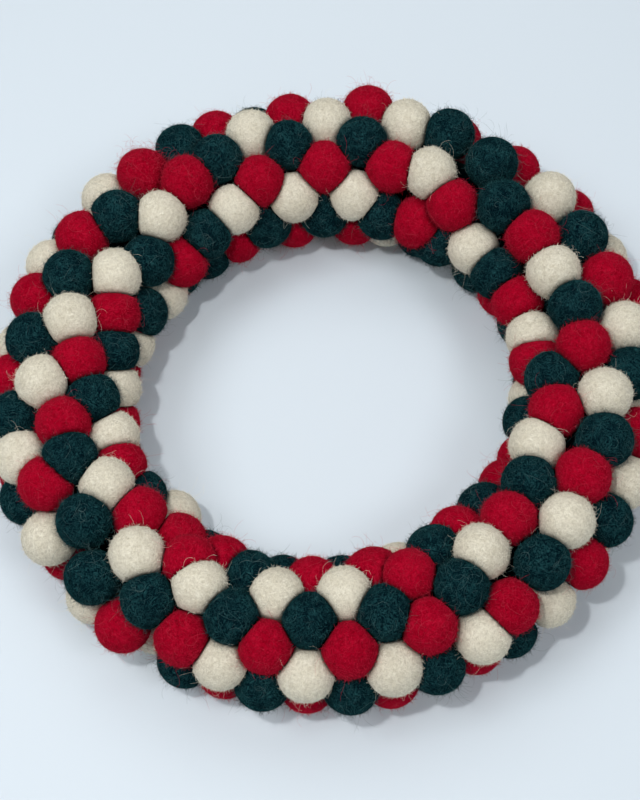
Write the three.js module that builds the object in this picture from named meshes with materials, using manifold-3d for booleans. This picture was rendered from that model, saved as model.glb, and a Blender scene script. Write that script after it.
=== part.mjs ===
// A wreath of wool felt balls.
//
// The balls lie in turns: each turn is a closed hoop of six balls set round the tube of the
// wreath, and forty-one turns stand side by side round the ring. Every second turn is rolled on by
// about half a ball, so its balls sit in the hollows between those of the next turn, and the
// soft balls press one another out of round where they meet.
//
// Millimetres, +Z up. The wreath lies flat on Z = 0, centred on the origin.
// Bearings run round the ring, anticlockwise from +X seen from above. Places round the tube run
// from 0 at the outer side, over 90 at the crown, to 180 at the inner side and 270 underneath.

import * as THREE from 'three';
import { mergeVertices } from 'three/addons/utils/BufferGeometryUtils.js';
import Module from 'manifold-3d';

// ---------------------------------------------------------------- driving dimensions

const ringRadius = 117;         // middle of the tube of balls, from the middle of the ring
const ringOval = 2.2;           // the ring is drawn this much out of round
const ovalBearing = 32;         // bearing of its longer way, degrees
const ringCentre = { x: -0.435, y: -1.077 };  // set so that the wreath is centred on the origin

const ballRadius = 12.2;        // a felt ball before its neighbours press on it
const layRadius = 23.4;         // ball centres from the middle of the tube
const ballsPerTurn = 6;
const restPress = 0.6;          // how far the lowest balls are pressed flat on the surface

// Where the tube is fuller than elsewhere, or slimmer: the rise of the lay and how far it spreads.
const fullness = [
  { bearing: 60, spread: 22, rise: 2.2 },
  { bearing: 132, spread: 30, rise: 1.2 },
  { bearing: 238, spread: 55, rise: -1.8 },
];

const unevenPlace = 3;          // largest stray of a ball round the tube, degrees
const unevenLay = 0.6;          // and in or out of the tube

const neckRadius = 4.6;         // where two balls of one turn are drawn together
const turnGap = 0.3;            // left between neighbouring turns
const neckMargin = 0.4;         // a ball's own facets stop this far before the next of its turn
const pressRange = 2.4 * ballRadius;  // balls with centres further apart than this do not meet

// ---------------------------------------------------------------- the colours, section by section

// at: bearing of the section's first turn. turns: how many turns it has, up to the next section.
// first: place round the tube of the first ball of the order. roll: how far each turn is rolled
// on from the one before. lean: how far the outer balls of a turn lag behind its crown, degrees
// of bearing. lead: how far its inner balls run ahead. order: the six colours of a turn, Cream,
// Green or Red.
const sections = [
  { at: 54.5, turns: 1, first: 70, roll: 0, lean: 4, lead: 0, order: 'GRGCCR' },
  { at: 64, turns: 1, first: 112, roll: 0, lean: 0, lead: -2, order: 'CRGCRG' },
  { at: 73, turns: 1, first: 54, roll: 0, lean: 0, lead: 0, order: 'CRGCRG' },
  { at: 81.5, turns: 4, first: 154, roll: 90, lean: 0, lead: 0, order: 'CRGCRG' },
  { at: 116, turns: 1, first: 147, roll: 0, lean: 4, lead: 1, order: 'CRGCRG' },
  { at: 124.5, turns: 1, first: 39, roll: 0, lean: 5, lead: 3, order: 'GRGGRC' },
  { at: 134.5, turns: 1, first: 50, roll: 0, lean: 6, lead: 3, order: 'RCRGCG' },
  { at: 143.5, turns: 1, first: 80, roll: 0, lean: 6, lead: 3, order: 'GGCRGC' },
  { at: 153, turns: 6, first: 117, roll: 79, lean: 6, lead: 4, order: 'CGRCGR' },
  { at: 202, turns: 1, first: 34, roll: 0, lean: 6, lead: 4, order: 'CGRCGR' },
  { at: 208, turns: 1, first: 55, roll: 0, lean: 6, lead: 6, order: 'RCGGCG' },
  { at: 217, turns: 1, first: 14, roll: 0, lean: 5, lead: 5, order: 'CGRCGR' },
  { at: 228, turns: 1, first: 94, roll: 0, lean: 5, lead: 3, order: 'CRGCCG' },
  { at: 238.5, turns: 1, first: 61, roll: 0, lean: 6, lead: -1, order: 'GRGCCR' },
  { at: 242.5, turns: 1, first: 98, roll: 0, lean: -2, lead: 1, order: 'CRGCGR' },
  { at: 251.5, turns: 1, first: 22, roll: 0, lean: 0, lead: 0, order: 'CGGCGR' },
  { at: 259, turns: 4, first: 118, roll: 90, lean: 0, lead: 0, order: 'CGRCGR' },
  { at: 289.5, turns: 1, first: 2, roll: 0, lean: 0, lead: 0, order: 'GRRCGC' },
  { at: 298.5, turns: 1, first: 25, roll: 0, lean: 0, lead: 0, order: 'CGGRCR' },
  { at: 306, turns: 1, first: 102, roll: 0, lean: 1, lead: 1.5, order: 'CRRCGR' },
  { at: 316, turns: 1, first: 54, roll: 0, lean: 2.5, lead: 2.5, order: 'GRGCRC' },
  { at: 325.5, turns: 1, first: 66, roll: 0, lean: 3.5, lead: 3.5, order: 'CGRCGR' },
  { at: 335, turns: 1, first: 78, roll: 0, lean: 4.5, lead: 4.5, order: 'RCRGCG' },
  { at: 345, turns: 1, first: 8, roll: 0, lean: 5.5, lead: 5, order: 'CGRGGR' },
  { at: 354, turns: 1, first: 79, roll: 0, lean: 5.5, lead: 4.5, order: 'CGCCGR' },
  { at: 4, turns: 1, first: 160, roll: 0, lean: 6, lead: 1, order: 'RGRCGR' },
  { at: 14.3, turns: 1, first: 222, roll: 0, lean: 7, lead: -2, order: 'CGRCGC' },
  { at: 24, turns: 1, first: 104, roll: 0, lean: 6, lead: 0, order: 'CRGGRR' },
  { at: 34, turns: 1, first: 164, roll: 0, lean: 6, lead: 0, order: 'GRCCGR' },
  { at: 44, turns: 1, first: 224, roll: 0, lean: 5, lead: 0, order: 'GRRCGC' },
];

// Balls that stand proud of the others: the turn, the ball's number in it, and how far.
const proudBalls = [
  { turn: 2, ball: 5, by: 3 },
  { turn: 4, ball: 5, by: 3 },
  { turn: 20, ball: 4, by: 8 },
  { turn: 39, ball: 5, by: 7 },
  { turn: 40, ball: 4, by: 8 },
  { turn: 41, ball: 3, by: 9 },
];

const felts = {
  R: { color: 0xb80f28, name: 'felt_red' },
  G: { color: 0x10403a, name: 'felt_green' },
  C: { color: 0xe2dbc6, name: 'felt_cream' },
};

// ---------------------------------------------------------------- where the balls lie

const radians = THREE.MathUtils.degToRad;

const strayStep = 12.9898;
const strayStretch = 43758.5453;

// A repeatable stray between -1 and 1 for each number.
function uneven(number) {
  const wave = Math.sin(number * strayStep) * strayStretch;
  return 2 * (wave - Math.floor(wave)) - 1;
}

// Degrees from one bearing to another, the short way round, always positive or nought.
function apart(one, other) {
  const turned = (((one - other) % 360) + 360) % 360;
  return Math.min(turned, 360 - turned);
}

// How far ball centres lie from the middle of the tube at a bearing.
function layAt(bearing) {
  let lay = layRadius;
  for (const part of fullness) {
    const from = apart(bearing, part.bearing) / part.spread;
    lay += part.rise * Math.exp(-from * from);
  }
  return lay;
}

// How far a ball stands proud of the others, from its number in the whole wreath.
function proudOf(number) {
  const proud = proudBalls.find(({ turn, ball }) => (turn - 1) * ballsPerTurn + ball - 1 === number);
  return proud ? proud.by : 0;
}

// The middle of the tube at a bearing.
function tubeMiddle(bearing) {
  const out = ringRadius + ringOval * Math.cos(radians(2 * (bearing - ovalBearing)));
  return new THREE.Vector3(
    ringCentre.x + out * Math.cos(radians(bearing)),
    ringCentre.y + out * Math.sin(radians(bearing)),
    layAt(bearing) + ballRadius - restPress,
  );
}

// One ball: its centre, its colour and the direction in which it lies from the tube's middle.
function placeBall(bearing, lean, lead, place, colour, number) {
  const round = radians(place + unevenPlace * uneven(number));
  const along = bearing - (Math.cos(round) > 0 ? lean : lead) * Math.cos(round);
  const outward = new THREE.Vector3(Math.cos(radians(along)), Math.sin(radians(along)), 0);
  const out = outward.clone().multiplyScalar(Math.cos(round));
  out.z = Math.sin(round);
  const lay = layAt(along) + unevenLay * uneven(number + 0.5) + proudOf(number);
  return { centre: tubeMiddle(along).addScaledVector(out, lay), out, colour };
}

// All the turns, each a list of its six balls.
function layTurns() {
  const turns = [];
  sections.forEach((section, index) => {
    const next = sections[(index + 1) % sections.length];
    const span = (next.at - section.at + 360) % 360;
    for (let turn = 0; turn < section.turns; turn += 1) {
      const share = turn / section.turns;
      const bearing = section.at + span * share;
      const lean = section.lean + (next.lean - section.lean) * share;
      const lead = section.lead + (next.lead - section.lead) * share;
      const balls = [];
      for (let ball = 0; ball < ballsPerTurn; ball += 1) {
        const place = section.first + section.roll * turn + (360 / ballsPerTurn) * ball;
        const number = turns.length * ballsPerTurn + ball;
        balls.push(placeBall(bearing, lean, lead, place, section.order[ball], number));
      }
      turns.push(balls);
    }
  });
  return turns;
}

// ---------------------------------------------------------------- how the balls press together

// Each neighbour holds a ball back at a plane half way between the two centres.
function pressPlanes(ball, turns) {
  const planes = [];
  for (const turn of turns) {
    const ownTurn = turn.includes(ball);
    for (const other of turn) {
      const away = other.centre.clone().sub(ball.centre);
      const distance = away.length();
      if (other === ball || distance > pressRange) continue;
      const stop = distance / 2 - (ownTurn ? neckMargin : turnGap / 2);
      planes.push({ normal: away.divideScalar(distance), stop });
    }
  }
  return planes;
}

const nearlyNone = 1e-6;        // a direction closing less than this runs along the plane

// How far a facet's corner can go from a start point before it meets a plane.
function reach(ball, start, direction, full, planes) {
  let far = full;
  for (const plane of planes) {
    const closing = direction.dot(plane.normal);
    if (closing < nearlyNone) continue;
    const left = plane.stop - start.clone().sub(ball.centre).dot(plane.normal);
    far = Math.min(far, Math.max(left, 0) / closing);
  }
  return far;
}

// Moves a point back out of any neighbour whose plane it has passed.
function stepBack(ball, point) {
  for (const plane of ball.outerPlanes) {
    const over = point.clone().sub(ball.centre).dot(plane.normal) - plane.stop;
    if (over > 0) point.addScaledVector(plane.normal, -over);
  }
}

// ---------------------------------------------------------------- the solid of one turn

const facetSides = 5;           // corners of each section round a ball
const shoulder = 38;            // latitude of the sections either side of a ball's middle

// The corners of one section of a ball, at a latitude along the turn.
function ballSection(ball, along, latitude, stagger) {
  const side = new THREE.Vector3().crossVectors(along, ball.out);
  const corners = [];
  for (let corner = 0; corner < facetSides; corner += 1) {
    const angle = (2 * Math.PI * (corner + stagger)) / facetSides;
    const direction = new THREE.Vector3()
      .addScaledVector(ball.out, Math.cos(angle) * Math.cos(radians(latitude)))
      .addScaledVector(side, Math.sin(angle) * Math.cos(radians(latitude)))
      .addScaledVector(along, Math.sin(radians(latitude)));
    const far = reach(ball, ball.centre, direction, ballRadius, ball.planes);
    corners.push(ball.centre.clone().addScaledVector(direction, far));
  }
  return corners;
}

// The section where a ball meets the next one of its turn.
function neckSection(ball, next) {
  const along = next.centre.clone().sub(ball.centre).normalize();
  const middle = ball.centre.clone().add(next.centre).multiplyScalar(0.5);
  stepBack(ball, middle);
  stepBack(next, middle);
  const out = ball.out.clone().add(next.out);
  out.addScaledVector(along, -out.dot(along)).normalize();
  const side = new THREE.Vector3().crossVectors(along, out);
  const corners = [];
  for (let corner = 0; corner < facetSides; corner += 1) {
    const angle = (2 * Math.PI * corner) / facetSides;
    const direction = new THREE.Vector3()
      .addScaledVector(out, Math.cos(angle))
      .addScaledVector(side, Math.sin(angle));
    const first = reach(ball, middle, direction, neckRadius, ball.outerPlanes);
    const second = reach(next, middle, direction, neckRadius, next.outerPlanes);
    corners.push(middle.clone().addScaledVector(direction, Math.min(first, second)));
  }
  return corners;
}

// A closed hoop of sections, each second one staggered by half a corner.
function hoopGeometry(rows) {
  const positions = rows.flat().flatMap((corner) => corner.toArray());
  const index = [];
  rows.forEach((row, number) => {
    const here = number * facetSides;
    const there = ((number + 1) % rows.length) * facetSides;
    for (let corner = 0; corner < facetSides; corner += 1) {
      const next = (corner + 1) % facetSides;
      if (number % 2 === 0) {
        index.push(here + corner, here + next, there + corner);
        index.push(here + next, there + next, there + corner);
      } else {
        index.push(here + corner, there + next, there + corner);
        index.push(here + corner, here + next, there + next);
      }
    }
  });
  const geometry = new THREE.BufferGeometry();
  geometry.setAttribute('position', new THREE.Float32BufferAttribute(positions, 3));
  geometry.setIndex(index);
  return geometry;
}

// The six balls of a turn as one closed hoop.
function turnGeometry(balls) {
  const rows = [];
  balls.forEach((ball, number) => {
    const before = balls[(number + balls.length - 1) % balls.length];
    const next = balls[(number + 1) % balls.length];
    const along = next.centre.clone().sub(before.centre);
    along.addScaledVector(ball.out, -along.dot(ball.out)).normalize();
    rows.push(ballSection(ball, along, -shoulder, 0.5));
    rows.push(ballSection(ball, along, 0, 0));
    rows.push(ballSection(ball, along, shoulder, 0.5));
    rows.push(neckSection(ball, next));
  });
  rows.unshift(rows.pop());
  return hoopGeometry(rows);
}

// ---------------------------------------------------------------- flat where it rests

const wasm = await Module();
wasm.setup();

function toSolid(geometry) {
  const vertProperties = new Float32Array(geometry.attributes.position.array);
  const triVerts = new Uint32Array(geometry.index.array);
  return new wasm.Manifold(new wasm.Mesh({ numProp: 3, vertProperties, triVerts }));
}

function toGeometry(solid) {
  const mesh = solid.getMesh();
  const geometry = new THREE.BufferGeometry();
  geometry.setAttribute('position', new THREE.Float32BufferAttribute(mesh.vertProperties, 3));
  geometry.setIndex(Array.from(mesh.triVerts));
  return geometry;
}

// Everything below the surface that the wreath lies on.
function groundSolid() {
  const depth = 20;
  const width = 3 * ringRadius;
  const box = new THREE.BoxGeometry(width, width, depth);
  box.translate(0, 0, -depth / 2);
  box.deleteAttribute('normal');
  box.deleteAttribute('uv');
  return toSolid(mergeVertices(box));
}

function restFlat(geometry, ground) {
  geometry.computeBoundingBox();
  if (geometry.boundingBox.min.z >= 0) return geometry;
  return toGeometry(toSolid(geometry).subtract(ground));
}

// ---------------------------------------------------------------- the wreath

// A turn's solid takes the felt of its uppermost ball.
function turnMaterial(balls) {
  const top = balls.reduce((best, ball) => (ball.centre.z > best.centre.z ? ball : best));
  const felt = felts[top.colour];
  return new THREE.MeshStandardMaterial({
    name: felt.name, color: felt.color, roughness: 0.95, metalness: 0, flatShading: true,
  });
}

function buildWreath() {
  const wreath = new THREE.Group();
  const turns = layTurns();
  const ground = groundSolid();
  for (const balls of turns) {
    for (const ball of balls) {
      ball.planes = pressPlanes(ball, turns);
      ball.outerPlanes = pressPlanes(ball, turns.filter((turn) => turn !== balls));
    }
  }
  turns.forEach((balls, number) => {
    const mesh = new THREE.Mesh(restFlat(turnGeometry(balls), ground), turnMaterial(balls));
    mesh.name = `turn_${String(number + 1).padStart(2, '0')}`;
    wreath.add(mesh);
  });
  return wreath;
}

export default buildWreath();
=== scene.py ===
# A wreath of wool felt balls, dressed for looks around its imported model.
#
# Metres, in the model's own frame: the wreath lies flat on Z = 0, its middle on the origin.
# Bearings run round the ring, anticlockwise from +X seen from above. Places round the tube run
# from 0 at the outer side, over 90 at the crown, to 180 at the inner side and 270 underneath.

import math

import bpy
import numpy as np
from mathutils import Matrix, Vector


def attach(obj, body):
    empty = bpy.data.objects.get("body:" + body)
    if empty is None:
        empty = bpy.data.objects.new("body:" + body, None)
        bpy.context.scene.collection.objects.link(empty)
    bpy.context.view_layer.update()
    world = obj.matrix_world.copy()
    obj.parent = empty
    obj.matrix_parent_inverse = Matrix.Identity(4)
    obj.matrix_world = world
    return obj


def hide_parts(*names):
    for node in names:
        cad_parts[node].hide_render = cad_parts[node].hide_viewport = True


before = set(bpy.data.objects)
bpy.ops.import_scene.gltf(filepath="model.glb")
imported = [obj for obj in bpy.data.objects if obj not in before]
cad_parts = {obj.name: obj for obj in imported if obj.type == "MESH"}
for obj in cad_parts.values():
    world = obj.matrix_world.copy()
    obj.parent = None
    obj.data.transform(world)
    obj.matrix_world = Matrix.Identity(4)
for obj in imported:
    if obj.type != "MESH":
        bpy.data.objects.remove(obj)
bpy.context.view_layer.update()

# ------------------------------------------------------------------ the table, light and camera
# The wreath lies on a plain pale table. A small lamp high over the front left casts its crisp
# shadow, and a window on the right, a doorway on the left and a ceiling light beyond soften the
# rest. The camera looks down steeply from the front.

MM = 0.001

TABLE_SIZE = 3.0
TABLE_COLOUR = (0.68, 0.76, 0.83, 1)
TABLE_ROUGHNESS = 0.55
TABLE_GLOSS = 0.2
GRAIN_SCALE = 900
GRAIN_STRENGTH = 0.05
GRAIN_HEIGHT = 0.1 * MM

# Bearing and rise say where a light stands as seen from the wreath, and far how far off.
LIGHTS = [
    dict(name="lamp", bearing=231, rise=72, far=0.92, size=0.034, watts=2.55,
         colour=(1.0, 0.97, 0.94)),
    dict(name="window", bearing=322, rise=57, far=3.0, size=0.9, watts=18.0,
         colour=(0.98, 0.99, 1.0)),
    dict(name="doorway", bearing=190, rise=58, far=3.0, size=1.2, watts=26.0,
         colour=(0.97, 0.99, 1.0)),
    dict(name="ceiling", bearing=98, rise=67, far=1.2, size=0.8, watts=2.8,
         colour=(0.99, 1.0, 1.0)),
]
ROOM_COLOUR = (0.98, 0.99, 1.0, 1)
ROOM_STRENGTH = 0.275

LOOK_AT = Vector((-2.9, -8.2, 34.4)) * MM
CAMERA_RISE = 65.0
CAMERA_FAR = 705 * MM
LENS_MM = 87.97
SENSOR_MM = 36


def plain_table():
    bpy.ops.mesh.primitive_plane_add(size=TABLE_SIZE)
    table = bpy.context.object
    table.name = "table"
    paint = bpy.data.materials.new("pale_table")
    paint.use_nodes = True
    nodes = paint.node_tree.nodes
    links = paint.node_tree.links
    surface = nodes["Principled BSDF"]
    surface.inputs["Base Color"].default_value = TABLE_COLOUR
    surface.inputs["Roughness"].default_value = TABLE_ROUGHNESS
    surface.inputs["Specular IOR Level"].default_value = TABLE_GLOSS
    place = nodes.new("ShaderNodeTexCoord")
    grain = nodes.new("ShaderNodeTexNoise")
    grain.inputs["Scale"].default_value = GRAIN_SCALE
    bump = nodes.new("ShaderNodeBump")
    bump.inputs["Strength"].default_value = GRAIN_STRENGTH
    bump.inputs["Distance"].default_value = GRAIN_HEIGHT
    links.new(place.outputs["Object"], grain.inputs["Vector"])
    links.new(grain.outputs["Fac"], bump.inputs["Height"])
    links.new(bump.outputs["Normal"], surface.inputs["Normal"])
    table.data.materials.append(paint)


def soft_light(name, bearing, rise, far, size, watts, colour):
    """A square of light that faces the wreath from a bearing and a height angle."""
    around = math.radians(bearing)
    up = math.radians(rise)
    place = Vector((math.cos(around) * math.cos(up), math.sin(around) * math.cos(up), math.sin(up)))
    light = bpy.data.lights.new(name, "AREA")
    light.shape = "SQUARE"
    light.size = size
    light.energy = watts
    light.color = colour
    lamp = bpy.data.objects.new(name, light)
    lamp.location = place * far
    lamp.rotation_euler = (-place).to_track_quat("-Z", "Y").to_euler()
    bpy.context.collection.objects.link(lamp)


def room_light():
    world = bpy.data.worlds.new("room")
    world.use_nodes = True
    background = world.node_tree.nodes["Background"]
    background.inputs["Color"].default_value = ROOM_COLOUR
    background.inputs["Strength"].default_value = ROOM_STRENGTH
    bpy.context.scene.world = world


def camera_above():
    lens = bpy.data.cameras.new("camera")
    lens.sensor_fit = "HORIZONTAL"
    lens.sensor_width = SENSOR_MM
    lens.lens = LENS_MM
    camera = bpy.data.objects.new("camera", lens)
    rise = math.radians(CAMERA_RISE)
    back = Vector((0, -math.cos(rise), math.sin(rise)))
    camera.location = LOOK_AT + back * CAMERA_FAR
    camera.rotation_euler = (-back).to_track_quat("-Z", "Y").to_euler()
    bpy.context.collection.objects.link(camera)
    bpy.context.scene.camera = camera


plain_table()
for light in LIGHTS:
    soft_light(**light)
room_light()
camera_above()
bpy.context.scene.view_settings.view_transform = "Standard"

# ------------------------------------------------------------------ where the felt balls lie
# Six balls go round the tube in each turn, and forty-one turns stand side by side round the
# ring, each rolled on so that its balls sit in the hollows of the turn before. The balls are
# pressed close together, and they hide what carries them.

RING_RADIUS = 117 * MM
RING_OVAL = 2.2 * MM
OVAL_BEARING = 32
RING_CENTRE = Vector((-0.435, -1.077, 0)) * MM
BALL_RADIUS = 12.2 * MM
LAY_RADIUS = 23.4 * MM
BALLS_PER_TURN = 6
REST_PRESS = 0.6 * MM
UNEVEN_PLACE = 3
UNEVEN_LAY = 0.6 * MM
LAY_STRAY = 0.5
STRAY_WAVE = 12.9898
STRAY_SPREAD = 43758.5453

# Where the tube is fuller than elsewhere, or slimmer, and how far along the ring that spreads.
FULLNESS = [
    dict(bearing=60, spread=22, rise=2.2),
    dict(bearing=132, spread=30, rise=1.2),
    dict(bearing=238, spread=55, rise=-1.8),
]

# Balls that stand proud of the others: the turn, the ball's number in it, and how far.
PROUD_BALLS = [
    dict(turn=2, ball=5, by=3),
    dict(turn=4, ball=5, by=3),
    dict(turn=20, ball=4, by=8),
    dict(turn=39, ball=5, by=7),
    dict(turn=40, ball=4, by=8),
    dict(turn=41, ball=3, by=9),
]

# at: bearing of the section's first turn. turns: how many it has. first: place round the tube
# of the first ball of the order. roll: how far each turn is rolled on. lean: how far the outer
# balls lag behind the crown of their turn. lead: how far its inner balls run ahead. order:
# Cream, Green or Red, ball by ball. The numbers follow one real wreath, so few of them repeat.
SECTIONS = [
    dict(at=54.5, turns=1, first=70, roll=0, lean=4, lead=0, order="GRGCCR"),
    dict(at=64, turns=1, first=112, roll=0, lean=0, lead=-2, order="CRGCRG"),
    dict(at=73, turns=1, first=54, roll=0, lean=0, lead=0, order="CRGCRG"),
    dict(at=81.5, turns=4, first=154, roll=90, lean=0, lead=0, order="CRGCRG"),
    dict(at=116, turns=1, first=147, roll=0, lean=4, lead=1, order="CRGCRG"),
    dict(at=124.5, turns=1, first=39, roll=0, lean=5, lead=3, order="GRGGRC"),
    dict(at=134.5, turns=1, first=50, roll=0, lean=6, lead=3, order="RCRGCG"),
    dict(at=143.5, turns=1, first=80, roll=0, lean=6, lead=3, order="GGCRGC"),
    dict(at=153, turns=6, first=117, roll=79, lean=6, lead=4, order="CGRCGR"),
    dict(at=202, turns=1, first=34, roll=0, lean=6, lead=4, order="CGRCGR"),
    dict(at=208, turns=1, first=55, roll=0, lean=6, lead=6, order="RCGGCG"),
    dict(at=217, turns=1, first=14, roll=0, lean=5, lead=5, order="CGRCGR"),
    dict(at=228, turns=1, first=94, roll=0, lean=5, lead=3, order="CRGCCG"),
    dict(at=238.5, turns=1, first=61, roll=0, lean=6, lead=-1, order="GRGCCR"),
    dict(at=242.5, turns=1, first=98, roll=0, lean=-2, lead=1, order="CRGCGR"),
    dict(at=251.5, turns=1, first=22, roll=0, lean=0, lead=0, order="CGGCGR"),
    dict(at=259, turns=4, first=118, roll=90, lean=0, lead=0, order="CGRCGR"),
    dict(at=289.5, turns=1, first=2, roll=0, lean=0, lead=0, order="GRRCGC"),
    dict(at=298.5, turns=1, first=25, roll=0, lean=0, lead=0, order="CGGRCR"),
    dict(at=306, turns=1, first=102, roll=0, lean=1, lead=1.5, order="CRRCGR"),
    dict(at=316, turns=1, first=54, roll=0, lean=2.5, lead=2.5, order="GRGCRC"),
    dict(at=325.5, turns=1, first=66, roll=0, lean=3.5, lead=3.5, order="CGRCGR"),
    dict(at=335, turns=1, first=78, roll=0, lean=4.5, lead=4.5, order="RCRGCG"),
    dict(at=345, turns=1, first=8, roll=0, lean=5.5, lead=5, order="CGRGGR"),
    dict(at=354, turns=1, first=79, roll=0, lean=5.5, lead=4.5, order="CGCCGR"),
    dict(at=4, turns=1, first=160, roll=0, lean=6, lead=1, order="RGRCGR"),
    dict(at=14.3, turns=1, first=222, roll=0, lean=7, lead=-2, order="CGRCGC"),
    dict(at=24, turns=1, first=104, roll=0, lean=6, lead=0, order="CRGGRR"),
    dict(at=34, turns=1, first=164, roll=0, lean=6, lead=0, order="GRCCGR"),
    dict(at=44, turns=1, first=224, roll=0, lean=5, lead=0, order="GRRCGC"),
]


def uneven(number):
    """A repeatable stray between -1 and 1 for each number."""
    wave = math.sin(number * STRAY_WAVE) * STRAY_SPREAD
    return 2 * (wave - math.floor(wave)) - 1


def apart(one, other):
    """The angle between two bearings, the short way round."""
    turned = (one - other) % 360
    return min(turned, 360 - turned)


def lay_at(bearing):
    """How far the ball centres lie from the middle of the tube at a bearing."""
    lay = LAY_RADIUS
    for part in FULLNESS:
        away = apart(bearing, part["bearing"]) / part["spread"]
        lay += part["rise"] * MM * math.exp(-away * away)
    return lay


def ball_number(spot):
    """A ball's number, from 0, out of its turn and its place in the turn, from 1."""
    return (spot["turn"] - 1) * BALLS_PER_TURN + spot["ball"] - 1


def proud_of(number):
    """How far a ball stands proud of the others."""
    for proud in PROUD_BALLS:
        if ball_number(proud) == number:
            return proud["by"] * MM
    return 0.0


def tube_middle(bearing):
    """The middle of the tube, as high as its lowest balls hold it off the table."""
    out = RING_RADIUS + RING_OVAL * math.cos(math.radians(2 * (bearing - OVAL_BEARING)))
    around = math.radians(bearing)
    flat = Vector((out * math.cos(around), out * math.sin(around), 0))
    return RING_CENTRE + flat + Vector((0, 0, lay_at(bearing) + BALL_RADIUS - REST_PRESS))


def lay_balls():
    """Every ball, in order: its turn, colour letter, centre, and direction out of the tube."""
    balls = []
    turn_number = 0
    for index, section in enumerate(SECTIONS):
        following = SECTIONS[(index + 1) % len(SECTIONS)]
        span = (following["at"] - section["at"]) % 360
        for turn in range(section["turns"]):
            share = turn / section["turns"]
            bearing = section["at"] + span * share
            lean = section["lean"] + (following["lean"] - section["lean"]) * share
            lead = section["lead"] + (following["lead"] - section["lead"]) * share
            for ball in range(BALLS_PER_TURN):
                number = len(balls)
                place = section["first"] + section["roll"] * turn + 360 / BALLS_PER_TURN * ball
                round_tube = math.radians(place + UNEVEN_PLACE * uneven(number))
                outer = math.cos(round_tube) > 0
                along = bearing - (lean if outer else lead) * math.cos(round_tube)
                away = math.radians(along)
                out = Vector((
                    math.cos(away) * math.cos(round_tube),
                    math.sin(away) * math.cos(round_tube),
                    math.sin(round_tube),
                ))
                lay = lay_at(along) + UNEVEN_LAY * uneven(number + LAY_STRAY) + proud_of(number)
                balls.append(dict(
                    number=number,
                    turn=turn_number,
                    colour=section["order"][ball],
                    centre=tube_middle(along) + out * lay,
                    out=out,
                ))
            turn_number += 1
    return balls


balls = lay_balls()

# ------------------------------------------------------------------ the shape of a felt ball
# A felt ball is wool rolled wet until it holds: round, soft and a little lumpy. Where two meet
# they press each other flat, with a soft edge round the flat.

BALL_GRID = 8
SAME_POINT_DIGITS = 6
PRESS_RANGE = 2.4 * BALL_RADIUS
PRESS_GAP = 0.06 * MM
PRESS_ROUNDING = 0.6 * MM
PRESS_FACING = 0.05
UNPRESSED = 1.0
FARTHEST_WALL = 3 * BALL_RADIUS
SIZE_SPREAD = 0.02
SIZE_STRAY = 0.25
LUMP_HEIGHT = 0.28 * MM
LUMP_WAVES = 7
LUMP_BROAD = 1.4
LUMP_FINER = 0.9
LUMP_FADE = 0.5
LUMP_LEVEL = 2.2
LUMP_SEED = 1000


def round_grid(steps):
    """Directions of a cube's grid blown up to a ball, with its four-sided faces, facing out."""
    ticks = np.tan(np.linspace(-math.pi / 4, math.pi / 4, steps + 1))
    points = {}
    faces = []
    for axis in range(3):
        for side in (-1, 1):
            keys = np.empty((steps + 1, steps + 1), dtype=int)
            for row in range(steps + 1):
                for column in range(steps + 1):
                    corner = [0.0, 0.0, 0.0]
                    corner[axis] = float(side)
                    corner[(axis + 1) % 3] = ticks[row]
                    corner[(axis + 2) % 3] = ticks[column]
                    key = tuple(round(value, SAME_POINT_DIGITS) for value in corner)
                    keys[row, column] = points.setdefault(key, len(points))
            for row in range(steps):
                for column in range(steps):
                    face = [keys[row, column], keys[row + 1, column],
                            keys[row + 1, column + 1], keys[row, column + 1]]
                    faces.append(face if side > 0 else face[::-1])
    directions = np.array(list(points), dtype=float)
    directions /= np.linalg.norm(directions, axis=1, keepdims=True)
    return directions, np.array(faces)


BALL_DIRECTIONS, BALL_FACES = round_grid(BALL_GRID)
CENTRES = np.array([ball["centre"] for ball in balls])


def lumps(directions, number):
    """The soft unevenness of a rolled ball, as a share of LUMP_HEIGHT."""
    chance = np.random.default_rng(LUMP_SEED + number)
    height = np.zeros(len(directions))
    for wave in range(LUMP_WAVES):
        heading = chance.normal(size=3)
        heading *= (LUMP_BROAD + LUMP_FINER * wave) / np.linalg.norm(heading)
        ripple = np.sin(directions @ heading + chance.uniform(0, 2 * math.pi))
        height += ripple / (1 + LUMP_FADE * wave)
    return height / LUMP_LEVEL


def press_stops(ball):
    """The planes, half way to each neighbour and at the table, that hold a ball's wool back."""
    away = CENTRES - CENTRES[ball["number"]]
    distance = np.linalg.norm(away, axis=1)
    near = (distance > 0) & (distance < PRESS_RANGE)
    normals = away[near] / distance[near, None]
    stops = distance[near] / 2 - PRESS_GAP
    normals = np.vstack([normals, (0, 0, -1)])
    return normals, np.append(stops, ball["centre"].z)


def ball_reach(ball, directions):
    """How far the wool reaches from the ball's centre in each direction, and how hard pressed."""
    normals, stops = press_stops(ball)
    closing = directions @ normals.T
    facing = closing > PRESS_FACING
    held = np.where(facing, stops / np.maximum(closing, PRESS_FACING), UNPRESSED)
    round_size = BALL_RADIUS * (1 + SIZE_SPREAD * uneven(ball["number"] + SIZE_STRAY))
    free = round_size + LUMP_HEIGHT * lumps(directions, ball["number"])
    walls = np.minimum(held, FARTHEST_WALL)
    pull = np.exp(-walls / PRESS_ROUNDING).sum(axis=1) + np.exp(-free / PRESS_ROUNDING)
    reach = -PRESS_ROUNDING * np.log(pull)
    reach = np.minimum(reach, held.min(axis=1))
    return reach, free - reach


# ------------------------------------------------------------------ the felt
# Dyed wool, matt and soft: fibres lie in swirls all over the ball, a few paler than the rest.
# The red is crimson, the green a deep bottle green, and the cream is undyed wool.

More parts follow.
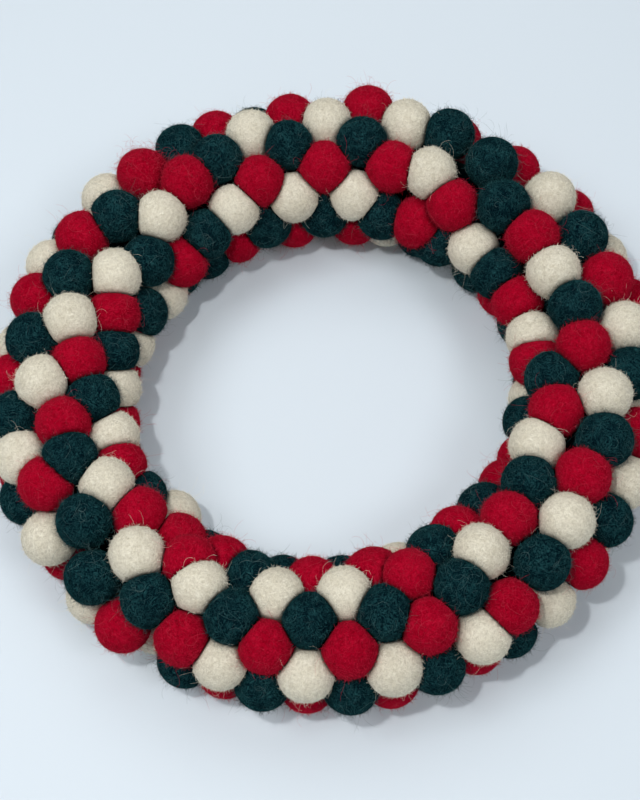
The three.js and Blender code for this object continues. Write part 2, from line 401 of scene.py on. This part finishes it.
# Each felt also holds a darker colour of painted shade, laid into the creases where balls press
# together.
FELTS = {
    "R": dict(slot="felt_red", name="red", deep=(0.17, 0.0002, 0.006), full=(0.35, 0.0008, 0.016),
              strand=(0.50, 0.010, 0.038), strand_amount=0.75, crease_shade_colour=(0.07, 0.0002, 0.003),
              sheen=0.06, sheen_tint=(1.0, 0.20, 0.28)),
    "G": dict(slot="felt_green", name="green", deep=(0.0001, 0.003, 0.007),
              full=(0.0002, 0.005, 0.009), strand=(0.020, 0.088, 0.096), strand_amount=0.8,
              crease_shade_colour=(0.0001, 0.001, 0.002), sheen=0.02, sheen_tint=(0.15, 0.75, 0.65)),
    "C": dict(slot="felt_cream", name="cream", deep=(0.45, 0.41, 0.32), full=(0.70, 0.66, 0.54),
              strand=(0.86, 0.83, 0.71), strand_amount=0.8, crease_shade_colour=(0.16, 0.14, 0.10),
              sheen=0.08, sheen_tint=(1.0, 0.97, 0.9)),
}


def new_group(name, inputs, outputs):
    """An empty shader node group with inputs and outputs, each given by name and kind."""
    group = bpy.data.node_groups.new(name, "ShaderNodeTree")
    for label, kind in inputs:
        group.interface.new_socket(label, in_out="INPUT", socket_type=kind)
    for label, kind in outputs:
        group.interface.new_socket(label, in_out="OUTPUT", socket_type=kind)
    return group, group.nodes.new("NodeGroupInput"), group.nodes.new("NodeGroupOutput")


def math_node(tree, operation, first, second, clamp=False):
    node = tree.nodes.new("ShaderNodeMath")
    node.operation = operation
    node.use_clamp = clamp
    for socket, value in zip(node.inputs, (first, second)):
        if isinstance(value, (int, float)):
            socket.default_value = value
        else:
            tree.links.new(value, socket)
    return node.outputs[0]


# Each layer of laid fibres: how its wool is drawn out along one direction, how thick its fibres
# are, and the part of the patch noise that says where the layer shows. Sizes are in millimetres.
LAID_LAYERS = [
    dict(stretch=(0.22, 1.0, 1.0), thick=0.55, channel="Red"),
    dict(stretch=(1.0, 0.22, 1.0), thick=0.66, channel="Green"),
    dict(stretch=(1.0, 1.0, 0.22), thick=0.48, channel="Blue"),
]
SWIRL_SIZE = 9.0
SWIRL_REACH = 7.0
LINES_DETAIL = 2
LINES_ROUGHNESS = 0.6
LINES_FROM = 0.48
LINES_CLEAR = 0.72
PATCH_SIZE = 5.0
PATCH_FROM = 0.40
PATCH_CLEAR = 0.60
PATCH_LEAST = 0.25
MOTTLE_SIZE = 1.5
MOTTLE_DETAIL = 4
MOTTLE_ROUGHNESS = 0.7
MOTTLE_FROM = 0.30
MOTTLE_FULL = 0.70
MOTTLE_RISE = 1.6
BUMP_STRENGTH = 0.55
BUMP_HEIGHT = 0.16 * MM
FELT_SMOOTHEST = 0.86
FELT_ROUGHEST = 1.0
SHEEN_ROUGHNESS = 0.5


def noise_node(tree, place, size, detail, roughness=0.5):
    """Soft noise whose lumps are about a size across, in millimetres."""
    noise = tree.nodes.new("ShaderNodeTexNoise")
    noise.inputs["Scale"].default_value = 1 / size
    noise.inputs["Detail"].default_value = detail
    noise.inputs["Roughness"].default_value = roughness
    tree.links.new(place, noise.inputs["Vector"])
    return noise.outputs


def vector_node(tree, operation, first, second):
    node = tree.nodes.new("ShaderNodeVectorMath")
    node.operation = operation
    for socket, value in zip(node.inputs, (first, second)):
        if isinstance(value, tuple):
            socket.default_value = value
        else:
            tree.links.new(value, socket)
    return node.outputs[0]


def ramp_node(tree, value, low, high, start=0.0):
    """A value brought from low..high to start..1 and held there."""
    ramp = tree.nodes.new("ShaderNodeMapRange")
    ramp.inputs["From Min"].default_value = low
    ramp.inputs["From Max"].default_value = high
    ramp.inputs["To Min"].default_value = start
    tree.links.new(value, ramp.inputs["Value"])
    return ramp.outputs["Result"]


def felt_fibres():
    """The felt's surface: a mask of fibres on top, a slow mottle, and a height for bump."""
    group, given, made = new_group(
        "felt_fibres",
        [("Place", "NodeSocketVector")],
        [("Strands", "NodeSocketFloat"), ("Mottle", "NodeSocketFloat"),
         ("Height", "NodeSocketFloat")],
    )
    place = given.outputs["Place"]
    swirl = noise_node(group, place, SWIRL_SIZE, 1)["Color"]
    swirl = vector_node(group, "SUBTRACT", swirl, (0.5, 0.5, 0.5))
    swirl = vector_node(group, "MULTIPLY", swirl, (SWIRL_REACH, SWIRL_REACH, SWIRL_REACH))
    drawn = vector_node(group, "ADD", place, swirl)
    parted = group.nodes.new("ShaderNodeSeparateColor")
    group.links.new(noise_node(group, place, PATCH_SIZE, 1)["Color"], parted.inputs["Color"])
    strands = None
    for layer in LAID_LAYERS:
        along = vector_node(group, "MULTIPLY", drawn, layer["stretch"])
        lines = noise_node(group, along, layer["thick"], LINES_DETAIL, LINES_ROUGHNESS)["Fac"]
        lines = ramp_node(group, lines, LINES_FROM, LINES_CLEAR)
        patch = parted.outputs[layer["channel"]]
        patch = ramp_node(group, patch, PATCH_FROM, PATCH_CLEAR, PATCH_LEAST)
        shown = math_node(group, "MULTIPLY", lines, patch)
        strands = shown if strands is None else math_node(group, "MAXIMUM", strands, shown)
    group.links.new(strands, made.inputs["Strands"])
    mottle = noise_node(group, place, MOTTLE_SIZE, MOTTLE_DETAIL, MOTTLE_ROUGHNESS)["Fac"]
    mottle = ramp_node(group, mottle, MOTTLE_FROM, MOTTLE_FULL)
    group.links.new(mottle, made.inputs["Mottle"])
    rise = math_node(group, "MULTIPLY", mottle, MOTTLE_RISE)
    group.links.new(math_node(group, "ADD", strands, rise), made.inputs["Height"])
    return group


FELT_FIBRES = felt_fibres()


def kept_value(tree, name):
    """What a piece of felt keeps at its points under this name."""
    kept = tree.nodes.new("ShaderNodeAttribute")
    kept.attribute_name = name
    return kept.outputs


def mixed_colour(tree, below, above, amount):
    """One colour over another, by an amount that changes over the surface."""
    mix = tree.nodes.new("ShaderNodeMix")
    mix.data_type = "RGBA"
    if isinstance(below, tuple):
        mix.inputs["A"].default_value = (*below, 1)
    else:
        tree.links.new(below, mix.inputs["A"])
    mix.inputs["B"].default_value = (*above, 1)
    tree.links.new(amount, mix.inputs["Factor"])
    return mix.outputs["Result"]


def felt_material(felt):
    """Felt of one colour: mottled, with paler strands on top, and painted shade in its creases."""
    material = bpy.data.materials.new(f"felt_{felt['name']}")
    material.use_nodes = True
    tree = material.node_tree
    surface = tree.nodes["Principled BSDF"]
    fibres = tree.nodes.new("ShaderNodeGroup")
    fibres.node_tree = FELT_FIBRES
    tree.links.new(kept_value(tree, "wool_place")["Vector"], fibres.inputs["Place"])
    tone = kept_value(tree, "wool_tone")["Fac"]
    amount = math_node(tree, "ADD", fibres.outputs["Mottle"], tone, clamp=True)
    colour = mixed_colour(tree, felt["deep"], felt["full"], amount)
    over = math_node(tree, "MULTIPLY", fibres.outputs["Strands"], felt["strand_amount"])
    colour = mixed_colour(tree, colour, felt["strand"], over)
    # Painted shade: darker towards that colour in the creases where the balls press together.
    colour = mixed_colour(tree, colour, felt["crease_shade_colour"], kept_value(tree, "painted_crease_shade")["Fac"])
    tree.links.new(colour, surface.inputs["Base Color"])
    bump = tree.nodes.new("ShaderNodeBump")
    bump.inputs["Strength"].default_value = BUMP_STRENGTH
    bump.inputs["Distance"].default_value = BUMP_HEIGHT
    tree.links.new(fibres.outputs["Height"], bump.inputs["Height"])
    tree.links.new(bump.outputs["Normal"], surface.inputs["Normal"])
    rough = tree.nodes.new("ShaderNodeMapRange")
    rough.inputs["To Min"].default_value = FELT_SMOOTHEST
    rough.inputs["To Max"].default_value = FELT_ROUGHEST
    tree.links.new(fibres.outputs["Mottle"], rough.inputs["Value"])
    tree.links.new(rough.outputs["Result"], surface.inputs["Roughness"])
    surface.inputs["Specular IOR Level"].default_value = 0.0
    surface.inputs["Sheen Weight"].default_value = felt["sheen"]
    surface.inputs["Sheen Roughness"].default_value = SHEEN_ROUGHNESS
    surface.inputs["Sheen Tint"].default_value = (*felt["sheen_tint"], 1)
    return material


FELT_MATERIALS = {letter: felt_material(felt) for letter, felt in FELTS.items()}

# ------------------------------------------------------------------ the rope in the middle
# What carries the real balls is hidden. A rope of green felt stands in for it here, painted all
# over in the felt's crease shade: the balls hide it, and it shows only as painted shade where
# four of them leave a chink.

ROPE_STEPS = 240
ROPE_SIDES = 20
ROPE_PRESSED = 0.8 * MM


def felt_piece(name, letter, corners, faces, places, tones, crease_shades):
    """A smooth piece of felt that keeps the wool's place, tone and painted shade at every point."""
    mesh = bpy.data.meshes.new(name)
    mesh.from_pydata(corners.tolist(), [], faces.tolist())
    mesh.polygons.foreach_set("use_smooth", np.ones(len(mesh.polygons), dtype=bool))
    place = mesh.attributes.new("wool_place", "FLOAT_VECTOR", "POINT")
    place.data.foreach_set("vector", places.astype(np.float32).ravel())
    tone = mesh.attributes.new("wool_tone", "FLOAT", "POINT")
    tone.data.foreach_set("value", tones.astype(np.float32))
    # The painted crease shade is kept at every point for the felt's material.
    crease_shade = mesh.attributes.new("painted_crease_shade", "FLOAT", "POINT")
    crease_shade.data.foreach_set("value", crease_shades.astype(np.float32))
    mesh.update()
    mesh.materials.append(FELT_MATERIALS[letter])
    piece = bpy.data.objects.new(name, mesh)
    bpy.context.collection.objects.link(piece)
    return piece


def wool_rope():
    """A rope along the middle of the tube, thick enough to reach into most of the balls."""
    corners = []
    faces = []
    for step in range(ROPE_STEPS):
        bearing = 360 * step / ROPE_STEPS
        radius = lay_at(bearing) - BALL_RADIUS + ROPE_PRESSED
        out = Vector((math.cos(math.radians(bearing)), math.sin(math.radians(bearing)), 0))
        following = (step + 1) % ROPE_STEPS
        for side in range(ROPE_SIDES):
            turn = 2 * math.pi * side / ROPE_SIDES
            beyond = (side + 1) % ROPE_SIDES
            off = out * math.cos(turn) + Vector((0, 0, math.sin(turn)))
            corners.append(tube_middle(bearing) + off * radius)
            faces.append((step * ROPE_SIDES + side, following * ROPE_SIDES + side,
                          following * ROPE_SIDES + beyond, step * ROPE_SIDES + beyond))
    corners = np.array(corners)
    # The rope has no tone of its own, and the painted crease shade in full.
    shade = np.ones(len(corners))
    return felt_piece("wool_rope", "G", corners, np.array(faces), corners / MM, 0 * shade, shade)


rope = wool_rope()
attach(rope, "root")

# ------------------------------------------------------------------ the balls, stretch by stretch
# The balls of one colour in a short stretch of neighbouring turns are one piece. Each ball in it
# is a closed form of pressed felt, and the piece stands for the turns that it lies in.

TURNS_PER_STRETCH = 4
# How hard the wool must be pressed before the painted crease shade starts, and where it is full.
CREASE_SHADE_STARTS = 0.35 * MM
CREASE_SHADE_FULL = 1.3 * MM
TONE_SPREAD = 0.10
TONE_STRAY = 0.75
WOOL_SHIFT = 400
WOOL_SEED = 5000


def wool_place(ball):
    """How a ball's wool is turned, and how far it is shifted, so that no two balls match."""
    chance = np.random.default_rng(WOOL_SEED + ball["number"])
    spin, _ = np.linalg.qr(chance.normal(size=(3, 3)))
    return spin, chance.uniform(-WOOL_SHIFT, WOOL_SHIFT, size=3)


def felt_balls(name, group, letter):
    """One piece of all the balls in a group, each a closed form of its own."""
    corners = []
    faces = []
    places = []
    tones = []
    crease_shades = []
    for ball in group:
        reach, pressed = ball_reach(ball, BALL_DIRECTIONS)
        local = BALL_DIRECTIONS * reach[:, None]
        faces.append(BALL_FACES + len(corners) * len(BALL_DIRECTIONS))
        corners.append(local + np.array(ball["centre"]))
        spin, shift = wool_place(ball)
        places.append(local / MM @ spin + shift)
        tone = TONE_SPREAD * uneven(ball["number"] + TONE_STRAY)
        tones.append(np.full(len(local), tone))
        # Painted shade in the creases: it grows with how hard the wool is pressed.
        crease_shade = (pressed - CREASE_SHADE_STARTS) / (CREASE_SHADE_FULL - CREASE_SHADE_STARTS)
        crease_shades.append(np.clip(crease_shade, 0, 1))
    return felt_piece(name, letter, np.vstack(corners), np.vstack(faces), np.vstack(places),
                      np.concatenate(tones), np.concatenate(crease_shades))


TURNS = balls[-1]["turn"] + 1
STRETCHES = [range(start, min(start + TURNS_PER_STRETCH, TURNS))
             for start in range(0, TURNS - 1, TURNS_PER_STRETCH)]
STRETCHES[-1] = range(STRETCHES[-1].start, TURNS)

for count, stretch in enumerate(STRETCHES, 1):
    turn_nodes = [f"turn_{turn + 1:02d}" for turn in stretch]
    for letter, felt in FELTS.items():
        group = [ball for ball in balls if ball["turn"] in stretch and ball["colour"] == letter]
        piece = felt_balls(f"{felt['name']}_balls_{count:02d}", group, letter)
        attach(piece, "root")
        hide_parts(*turn_nodes)

# ------------------------------------------------------------------ stray fibres
# Wool is never quite rolled in: curled fibres lie loose over each ball, and long thin hairs and a
# short fuzz stand off it. They are the ball's own wool, so they carry its colour, mostly a shade
# paler.

LYING_PER_BALL = 22
LYING_SHORT = 4.0 * MM
LYING_LONG = 13 * MM
LYING_LIFT = 0.35 * MM
LYING_CURL = 0.45
LYING_WANDER = 0.2
LYING_STEPS = 6
FUZZ_PER_BALL = 1250
FUZZ_SHORT = 0.7 * MM
FUZZ_LONG = {"R": 3.3 * MM, "G": 3.7 * MM, "C": 2.3 * MM}
FUZZ_THICK = 0.18 * MM
HAIRS_PER_BALL = {"R": 54, "G": 86, "C": 36}
HAIR_SHORT = 3.5 * MM
HAIR_LONG = 12.0 * MM
HAIR_THICK = 0.06 * MM
HAIR_STEPS = 6
OUTWARD_LEAST = 0.3
OUTWARD_MOST = 1.6
STANDING_CURL = 1.6
STANDING_WANDER = 0.75
FIBRE_SIDES = 3
FIBRE_THICK = 0.10 * MM
FREE_WOOL = 0.25 * MM
HIDDEN_SIDE = -0.35
FIBRE_SEED = 9000

# A fibre that rises more steeply than this has its sides laid out from X instead of from Z.
STEEP = 0.8
STEEP_FUZZ = 0.5 * MM

# Balls whose wool has come loose: the turn, the ball's number in it, and how many times the hairs.
FLUFFY_BALLS = [
    dict(turn=4, ball=5, times=5),
    dict(turn=10, ball=1, times=7),
]

FIBRE_SHADE_SCALE = 160
FIBRE_SHADE_FROM = 0.35
FIBRE_SHADE_FULL = 0.6
FIBRE_ROUGHNESS = 0.7
FIBRE_GLOSS = 0.1
PALE_FIBRES = {"R": (0.48, 0.045, 0.075), "G": (0.10, 0.17, 0.17), "C": (0.80, 0.76, 0.64)}
FUZZ_FIBRES = {"R": (0.36, 0.005, 0.023), "G": (0.003, 0.022, 0.029), "C": (0.72, 0.68, 0.56)}


def free_headings(ball, chance, count):
    """Those of count headings all round at which the ball's wool is free and can be seen."""
    headings = chance.normal(size=(count, 3))
    headings /= np.linalg.norm(headings, axis=1, keepdims=True)
    _, pressed = ball_reach(ball, headings)
    seen = headings @ np.array(ball["out"]) > HIDDEN_SIDE
    return headings[(pressed < FREE_WOOL) & seen]


def sideways_of(headings, chance):
    """A chance direction square to each heading."""
    aside = chance.normal(size=headings.shape)
    aside -= headings * (aside * headings).sum(axis=1, keepdims=True)
    return aside / np.linalg.norm(aside, axis=1, keepdims=True)


def lying_fibres(ball, chance):
    """Fibres that curl over the ball's own wool, lifting off it a little here and there."""
    headings = free_headings(ball, chance, LYING_PER_BALL)
    count = len(headings)
    aside = sideways_of(headings, chance)
    length = chance.uniform(LYING_SHORT, LYING_LONG, size=count)
    step = (length / LYING_STEPS / BALL_RADIUS)[:, None]
    curl = chance.normal(scale=LYING_CURL, size=(count, 1))
    lift = chance.uniform(0, 1, size=(count, LYING_STEPS + 1)) ** 2 * LYING_LIFT
    path = []
    for knot in range(LYING_STEPS + 1):
        reach, _ = ball_reach(ball, headings)
        path.append(np.array(ball["centre"]) + headings * (reach + lift[:, knot])[:, None])
        headings = headings + aside * step
        headings /= np.linalg.norm(headings, axis=1, keepdims=True)
        wander = chance.normal(scale=LYING_WANDER, size=(count, 1))
        aside = aside + np.cross(headings, aside) * (curl + wander)
        aside -= headings * (aside * headings).sum(axis=1, keepdims=True)
        aside /= np.linalg.norm(aside, axis=1, keepdims=True)
    return np.stack(path, axis=1)


def standing_fibres(ball, chance, per_ball, short, long, steps):
    """Fibres that leave the ball slanting, then wander and curl as they go."""
    outward = free_headings(ball, chance, per_ball)
    count = len(outward)
    reach, _ = ball_reach(ball, outward)
    start = np.array(ball["centre"]) + outward * (reach[:, None] - FIBRE_THICK)
    length = short + (long - short) * chance.random(count) ** 2
    step = (length / steps)[:, None]
    upright = chance.uniform(OUTWARD_LEAST, OUTWARD_MOST, size=(count, 1))
    heading = outward * upright + sideways_of(outward, chance)
    heading /= np.linalg.norm(heading, axis=1, keepdims=True)
    turning = chance.normal(scale=STANDING_CURL / steps, size=(count, 3))
    path = [start]
    for _ in range(steps):
        path.append(path[-1] + heading * step)
        heading = heading + np.cross(turning, heading)
        heading /= np.linalg.norm(heading, axis=1, keepdims=True)
        turning += chance.normal(scale=STANDING_WANDER / steps, size=(count, 3))
    return np.stack(path, axis=1)


def fuzz_fibres(ball, chance):
    longest = FUZZ_LONG[ball["colour"]]
    return standing_fibres(ball, chance, FUZZ_PER_BALL, FUZZ_SHORT, longest, 1)


def hair_fibres(ball, chance):
    hairs = HAIRS_PER_BALL[ball["colour"]]
    for fluffy in FLUFFY_BALLS:
        if ball_number(fluffy) == ball["number"]:
            hairs *= fluffy["times"]
    return standing_fibres(ball, chance, hairs, HAIR_SHORT, HAIR_LONG, HAIR_STEPS)


def sides_of(ahead, steep):
    """Two directions square to each heading and to each other."""
    helper = np.where(np.abs(ahead[..., 2:]) < steep, (0.0, 0.0, 1.0), (1.0, 0.0, 0.0))
    across = np.cross(ahead, helper)
    across /= np.linalg.norm(across, axis=-1, keepdims=True)
    beside = np.cross(ahead, across)
    beside /= np.linalg.norm(beside, axis=-1, keepdims=True)
    return across, beside


def like_forms(points, faces):
    """Corners and faces of many like forms, out of each one's corners and one's faces."""
    count, each, _ = points.shape
    shifted = faces[None] + (np.arange(count) * each)[:, None, None]
    return points.reshape(-1, 3), shifted.reshape(-1, 3)


def fibre_tubes(paths, thick):
    """Closed thin tubes with a point at each end, one along each path."""
    knots = paths.shape[1]
    ahead = np.gradient(paths, axis=1)
    ahead /= np.linalg.norm(ahead, axis=2, keepdims=True)
    across, beside = sides_of(ahead, STEEP)
    rings = []
    for knot in range(1, knots - 1):
        for side in range(FIBRE_SIDES):
            angle = 2 * math.pi * side / FIBRE_SIDES
            off = across[:, knot] * math.cos(angle) + beside[:, knot] * math.sin(angle)
            rings.append(paths[:, knot] + off * thick / 2)
    points = np.stack([paths[:, 0], *rings, paths[:, -1]], axis=1)
    faces = []
    for side in range(FIBRE_SIDES):
        beyond = (side + 1) % FIBRE_SIDES
        faces.append((0, 1 + beyond, 1 + side))
        for ring in range(knots - 3):
            near = 1 + ring * FIBRE_SIDES
            far = near + FIBRE_SIDES
            faces.append((near + side, near + beyond, far + beyond))
            faces.append((near + side, far + beyond, far + side))
        last = 1 + (knots - 3) * FIBRE_SIDES
        faces.append((last + side, last + beyond, last + FIBRE_SIDES))
    return like_forms(points, np.array(faces))


def fuzz_points(paths, thick):
    """Closed thin points, one along each path, each a narrow pyramid on three sides."""
    across, beside = sides_of(paths[:, 1] - paths[:, 0], STEEP_FUZZ)
    foot = []
    for side in range(FIBRE_SIDES):
        angle = 2 * math.pi * side / FIBRE_SIDES
        off = across * math.cos(angle) + beside * math.sin(angle)
        foot.append(paths[:, 0] + off * thick / 2)
    points = np.stack([*foot, paths[:, 1]], axis=1)
    return like_forms(points, np.array([(0, 2, 1), (0, 1, 3), (1, 2, 3), (2, 0, 3)]))


def fibre_material(name, felt, colour):
    """Loose wool, between the colour of the felt's own strands and a second one."""
    material = bpy.data.materials.new(name)
    material.use_nodes = True
    tree = material.node_tree
    surface = tree.nodes["Principled BSDF"]
    place = tree.nodes.new("ShaderNodeTexCoord")
    shade = tree.nodes.new("ShaderNodeTexNoise")
    shade.inputs["Scale"].default_value = FIBRE_SHADE_SCALE
    tree.links.new(place.outputs["Object"], shade.inputs["Vector"])
    amount = ramp_node(tree, shade.outputs["Fac"], FIBRE_SHADE_FROM, FIBRE_SHADE_FULL)
    mixed = mixed_colour(tree, felt["strand"], colour, amount)
    tree.links.new(mixed, surface.inputs["Base Color"])
    surface.inputs["Roughness"].default_value = FIBRE_ROUGHNESS
    surface.inputs["Specular IOR Level"].default_value = FIBRE_GLOSS
    return material


def fibre_piece(name, group, lay, spin, thick):
    """One piece of all the fibres of one kind on a group of balls, kept clear of the table."""
    paths = []
    for ball in group:
        chance = np.random.default_rng(FIBRE_SEED + ball["number"])
        paths.append(lay(ball, chance))
    paths = np.vstack(paths)
    paths[..., 2] = np.maximum(paths[..., 2], thick)
    corners, faces = spin(paths, thick)
    mesh = bpy.data.meshes.new(name)
    mesh.from_pydata(corners.tolist(), [], faces.tolist())
    mesh.update()
    piece = bpy.data.objects.new(name, mesh)
    bpy.context.collection.objects.link(piece)
    return piece


for letter, felt in FELTS.items():
    group = [ball for ball in balls if ball["colour"] == letter]
    pale = fibre_material(f"stray_{felt['name']}", felt, PALE_FIBRES[letter])
    short = fibre_material(f"fuzz_{felt['name']}", felt, FUZZ_FIBRES[letter])
    for name, lay, spin, thick, wool in (
        ("fibres", lying_fibres, fibre_tubes, FIBRE_THICK, pale),
        ("hairs", hair_fibres, fibre_tubes, HAIR_THICK, pale),
        ("fuzz", fuzz_fibres, fuzz_points, FUZZ_THICK, short),
    ):
        piece = fibre_piece(f"{felt['name']}_{name}", group, lay, spin, thick)
        piece.data.materials.append(wool)
        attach(piece, "root")
